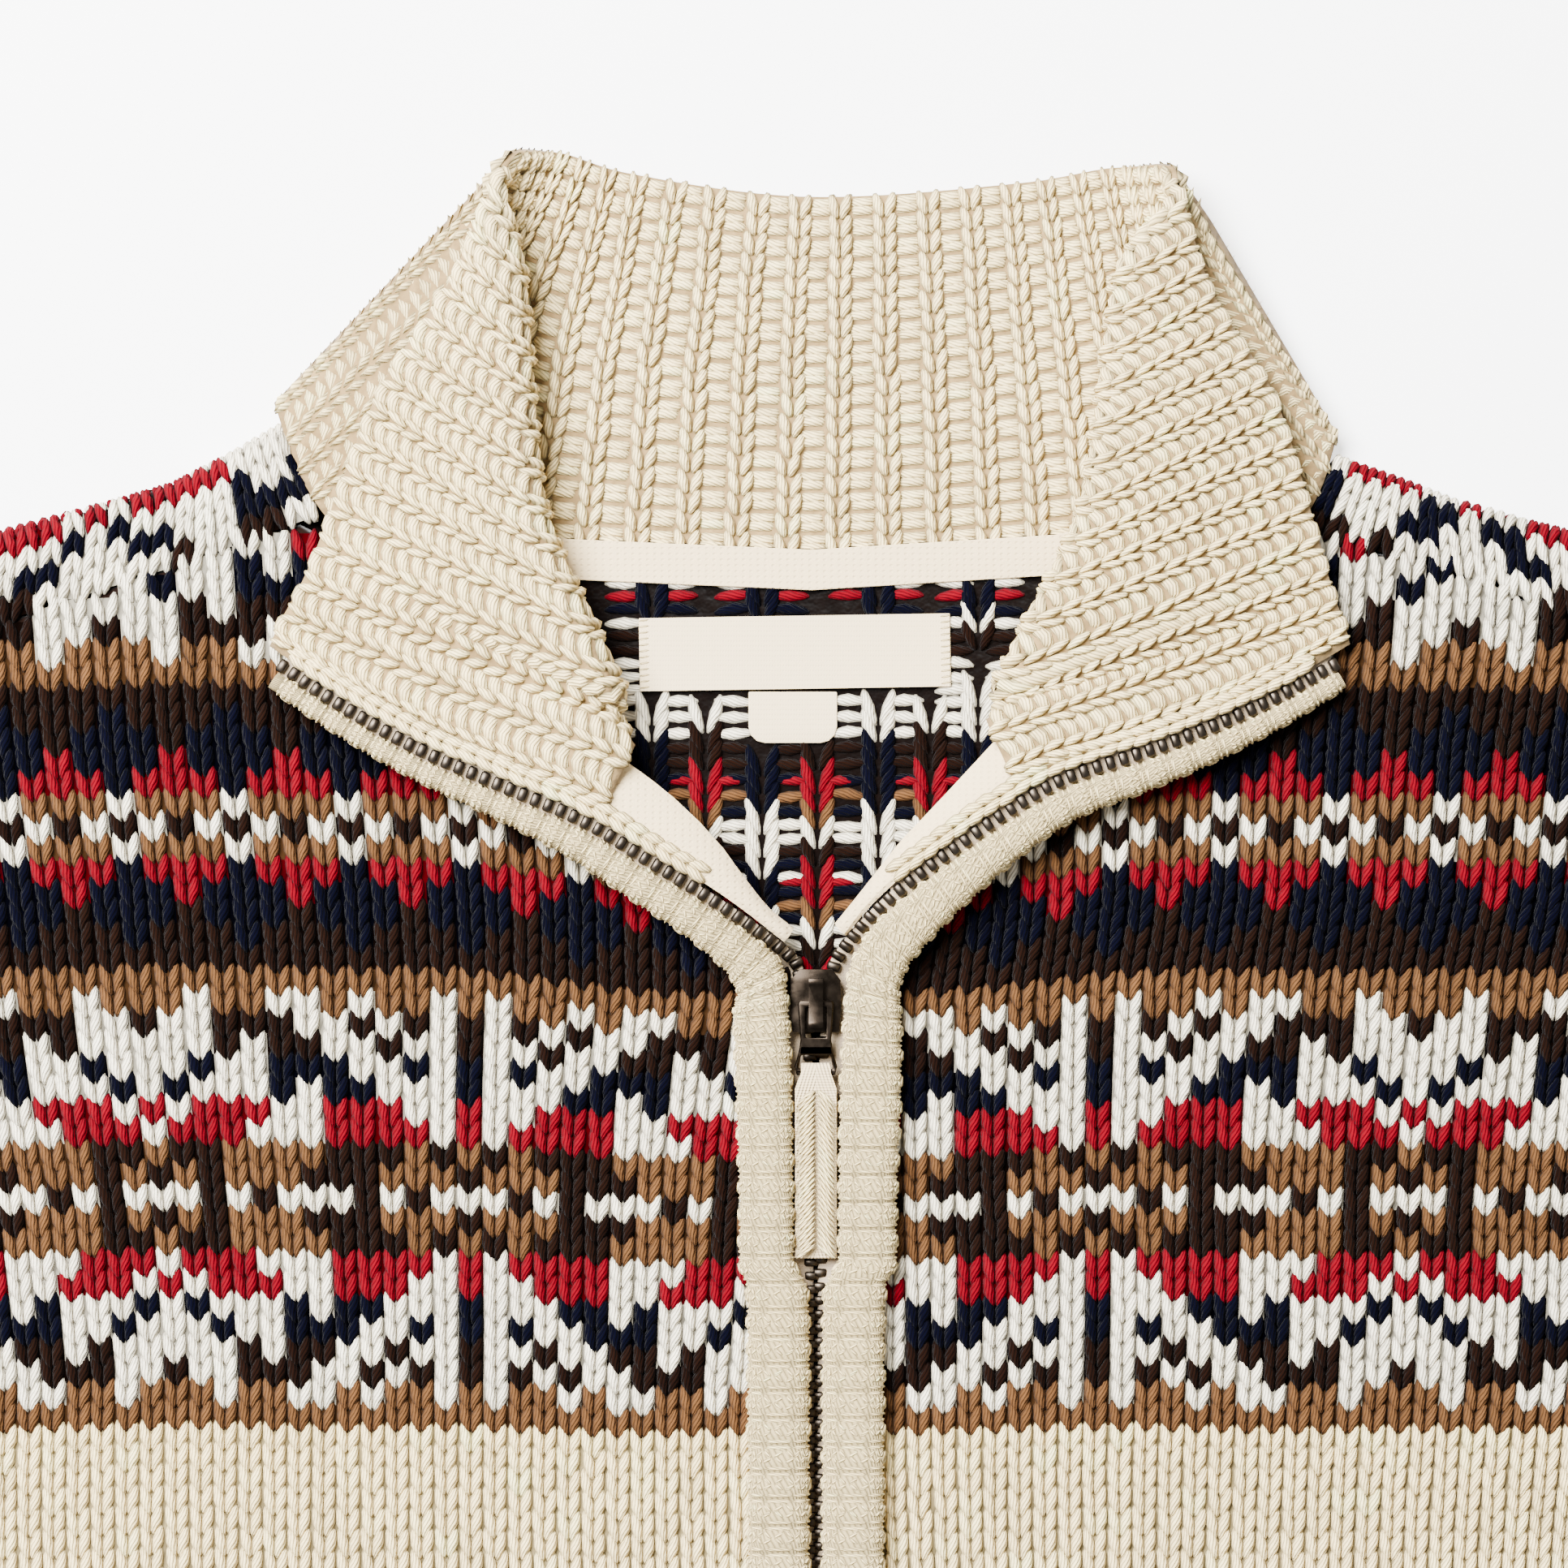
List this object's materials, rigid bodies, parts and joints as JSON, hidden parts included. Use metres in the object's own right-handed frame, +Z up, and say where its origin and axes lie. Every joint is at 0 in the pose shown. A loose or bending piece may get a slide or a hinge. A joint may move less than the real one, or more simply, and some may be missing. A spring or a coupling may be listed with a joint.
{
  "type": "zip-up sweater",
  "caption": "Chunky knit zip-up sweater laid flat, with a patterned yoke, knitted front bands and a ribbed stand collar folded open at the neck.",
  "frame": {"origin": "bottom centre of the bounding box, on the surface the garment lies on", "axes": "+X across the garment from its right sleeve, at the viewer's left, to its left sleeve; +Y from the hem up to the collar; +Z up out of the surface it lies on"},
  "size_m": [1.1836, 0.7371, 0.0184],
  "materials": {
    "yoke_knit": "chunky plied cotton knit, cream body under a yoke in brown, navy, tan, red and white",
    "cream_knit": "chunky plied cotton knit in cream, ribbed",
    "cream_tape": "smooth woven or jersey cotton tape in cream",
    "zip_metal": "antique dark brass, satin",
    "slider_metal": "antique dark bronze, polished edges"
  },
  "bodies": {
    "garment": {"back_panel": "yoke_knit", "front_left": "yoke_knit", "front_right": "yoke_knit", "sleeve_left": "yoke_knit", "sleeve_right": "yoke_knit", "cuff_left": "cream_knit", "cuff_right": "cream_knit", "hem_rib_back": "cream_knit", "hem_rib_left": "cream_knit", "hem_rib_right": "cream_knit", "collar": "cream_knit", "front_band_left": "cream_knit", "front_band_right": "cream_knit", "facing_tape_left": "cream_tape", "facing_tape_right": "cream_tape", "neck_tape": "cream_tape", "neck_label": "cream_tape", "size_label": "cream_tape", "zip_left": "zip_metal", "zip_right": "zip_metal", "zip_slider": "slider_metal"},
    "puller": {"zip_puller": "slider_metal", "pull_tab": "cream_tape"}
  },
  "joints": [
    {"name": "puller_hinge", "type": "hinge", "parent": "garment", "child": "puller", "pos_m": [0, 0.2122, 0.00995], "axis": [-1, 0, 0], "range_deg": [0, 170]}
  ]
}
